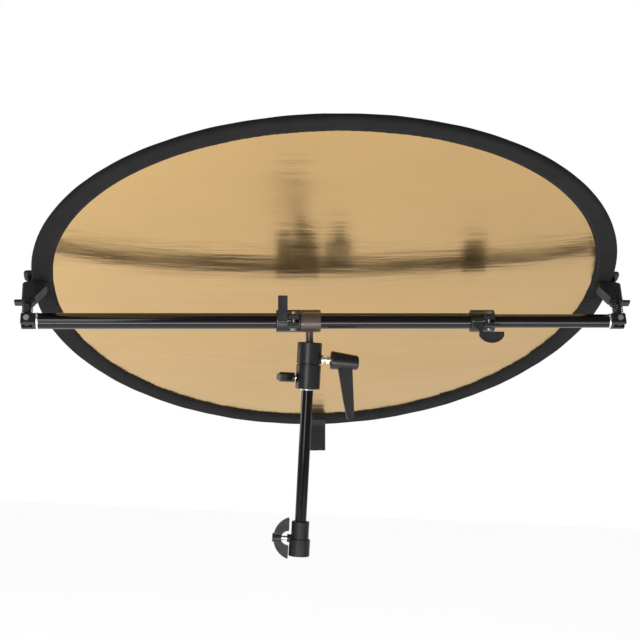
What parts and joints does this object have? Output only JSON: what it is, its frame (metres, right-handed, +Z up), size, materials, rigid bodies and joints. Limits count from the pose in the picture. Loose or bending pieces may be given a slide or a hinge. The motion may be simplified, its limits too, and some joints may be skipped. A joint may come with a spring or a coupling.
{
  "type": "collapsible reflector disc",
  "caption": "Round sprung-hoop light reflector with a gold face, held in clips at the ends of a telescopic cross bar on a ball head and stand riser.",
  "frame": {"origin": "centre of the mouth of the socket that drops onto the stand tube", "axes": "+Z up the pole, +X along the cross bar to its telescoping end, -Y towards the side the gold face looks to"},
  "size_m": [0.8584, 0.7111, 0.5853],
  "materials": {
    "collar_black": "satin black lacquer on a casting",
    "nylon": "natural nylon",
    "knob_plastic": "fine-grained black glass-filled nylon",
    "bright_steel": "bright zinc-plated steel",
    "tube_black": "gloss black anodised tube",
    "chrome_trim": "polished chrome",
    "head_black": "satin black anodised, lathe turned",
    "seat_brass": "turned brass",
    "sleeve_grey": "brownish-grey satin paint",
    "spring_steel": "oiled spring steel",
    "lock_plastic": "satin black nylon",
    "lock_steel": "dark zinc-plated steel",
    "clip_plastic": "satin black nylon",
    "pad_rubber": "ribbed black rubber",
    "gold_fabric": "metallised gold film on cloth, glossy",
    "reverse_fabric": "metallised silver film on cloth",
    "rim_fabric": "black sewn polyester binding",
    "tab_webbing": "black woven webbing"
  },
  "bodies": {
    "stand": {"stand_collar": "collar_black", "collar_bush": "nylon"},
    "collar_knob_set": {"collar_knob": "knob_plastic", "collar_knob_screw": "bright_steel"},
    "riser": {"riser_tube": "tube_black", "riser_trim_ring": "chrome_trim", "riser_spigot": "chrome_trim"},
    "head": {"socket_body": "head_black", "head_housing": "head_black", "ball_seat": "seat_brass", "pressure_pin": "seat_brass"},
    "socket_knob_set": {"socket_knob": "knob_plastic", "socket_knob_screw": "bright_steel"},
    "ratchet_screw_set": {"ratchet_screw": "bright_steel", "ratchet_washer": "bright_steel", "ratchet_spring": "spring_steel", "ratchet_cap_screw": "bright_steel"},
    "ratchet_grip": {"ratchet_handle": "knob_plastic"},
    "liner": {"ball_liner": "nylon"},
    "tee": {"ball_stem": "sleeve_grey", "tee_sleeve": "sleeve_grey", "tee_lock_collar": "lock_plastic", "tee_lock_bolt": "lock_steel", "tee_lock_nut": "lock_steel", "tee_lock_pin": "lock_steel"},
    "tee_lever": {"tee_lock_lever": "lock_plastic"},
    "bush": {"tee_bush": "nylon"},
    "outer_bar": {"outer_tube": "tube_black", "bar_lock_collar": "lock_plastic", "bar_lock_bolt": "lock_steel", "bar_lock_nut": "lock_steel", "bar_lock_pin": "lock_steel", "left_end_block": "clip_plastic", "left_end_washer": "bright_steel", "left_pivot_screw": "bright_steel", "left_clip_post": "clip_plastic", "left_back_jaw": "clip_plastic", "left_back_pad": "pad_rubber", "left_jaw_spring": "spring_steel"},
    "bar_lever": {"bar_lock_lever": "lock_plastic"},
    "left_jaw": {"left_front_jaw": "clip_plastic", "left_front_pad": "pad_rubber"},
    "inner_bar": {"inner_tube": "tube_black", "inner_tube_bush": "nylon", "right_end_block": "clip_plastic", "right_end_washer": "bright_steel", "right_pivot_screw": "bright_steel", "right_clip_post": "clip_plastic", "right_back_jaw": "clip_plastic", "right_back_pad": "pad_rubber", "right_jaw_spring": "spring_steel"},
    "right_jaw": {"right_front_jaw": "clip_plastic", "right_front_pad": "pad_rubber"},
    "reflector": {"rim_binding": "rim_fabric", "spring_hoop": "spring_steel", "hoop_splice": "spring_steel", "gold_face": "gold_fabric", "reverse_face": "reverse_fabric", "rim_tab": "tab_webbing"}
  },
  "joints": [
    {"name": "collar_knob_turn", "type": "hinge", "parent": "stand", "child": "collar_knob_set", "pos_m": [0, 0, 0.024], "axis": [-1, 0, 0], "continuous": true},
    {"name": "riser_slide", "type": "slide", "parent": "stand", "child": "riser", "axis": [0, 0, 1], "range_m": [-0.15, 0]},
    {"name": "head_pan", "type": "hinge", "parent": "riser", "child": "head", "pos_m": [0, 0, 0.245], "axis": [0, 0, 1], "continuous": true},
    {"name": "socket_knob_turn", "type": "hinge", "parent": "head", "child": "socket_knob_set", "pos_m": [0, 0, 0.246], "axis": [-1, 0, 0], "continuous": true},
    {"name": "ratchet_turn", "type": "hinge", "parent": "head", "child": "ratchet_screw_set", "pos_m": [0, 0, 0.2725], "axis": [1, 0, 0], "range_deg": [-100, 100]},
    {"name": "ratchet_pull", "type": "slide", "parent": "ratchet_screw_set", "child": "ratchet_grip", "axis": [1, 0, 0], "range_m": [0, 0.005], "stiffness_N_per_m": 400, "springref_m": -0.003},
    {"name": "ball_tilt", "type": "hinge", "parent": "head", "child": "liner", "pos_m": [0, 0, 0.284], "axis": [1, 0, 0], "range_deg": [-18, 18]},
    {"name": "ball_swing", "type": "hinge", "parent": "liner", "child": "tee", "pos_m": [0, 0, 0.284], "axis": [0, 1, 0], "range_deg": [-15, 21]},
    {"name": "tee_lever_flip", "type": "hinge", "parent": "tee", "child": "tee_lever", "pos_m": [-0.04808, -0.0195, 0.32254], "axis": [0.9986, 0, 0.0523], "range_deg": [0, 100]},
    {"name": "bar_roll", "type": "hinge", "parent": "tee", "child": "bush", "pos_m": [-0.00215, 0, 0.32494], "axis": [0.9986, 0, 0.0523], "range_deg": [-42, 30]},
    {"name": "bar_slide", "type": "slide", "parent": "bush", "child": "outer_bar", "axis": [0.9986, 0, 0.0523], "range_m": [-0.15, 0.15]},
    {"name": "bar_lever_flip", "type": "hinge", "parent": "outer_bar", "child": "bar_lever", "pos_m": [0.22155, -0.0195, 0.33667], "axis": [-0.9986, 0, -0.0523], "range_deg": [0, 100]},
    {"name": "bar_extend", "type": "slide", "parent": "outer_bar", "child": "inner_bar", "axis": [0.9986, 0, 0.0523], "range_m": [0, 0.18]},
    {"name": "left_jaw_open", "type": "slide", "parent": "outer_bar", "child": "left_jaw", "axis": [0.0456, -0.4924, -0.8692], "range_m": [0, 0.01], "stiffness_N_per_m": 400, "springref_m": -0.01, "deforming": ["left_jaw_spring"]},
    {"name": "right_jaw_open", "type": "slide", "parent": "inner_bar", "child": "right_jaw", "axis": [0.0456, -0.4924, -0.8692], "range_m": [0, 0.01], "stiffness_N_per_m": 400, "springref_m": -0.01, "deforming": ["right_jaw_spring"]},
    {"name": "reflector_release", "type": "slide", "parent": "outer_bar", "child": "reflector", "axis": [0.0258, 0.8704, -0.4917], "range_m": [0, 0.16]}
  ]
}
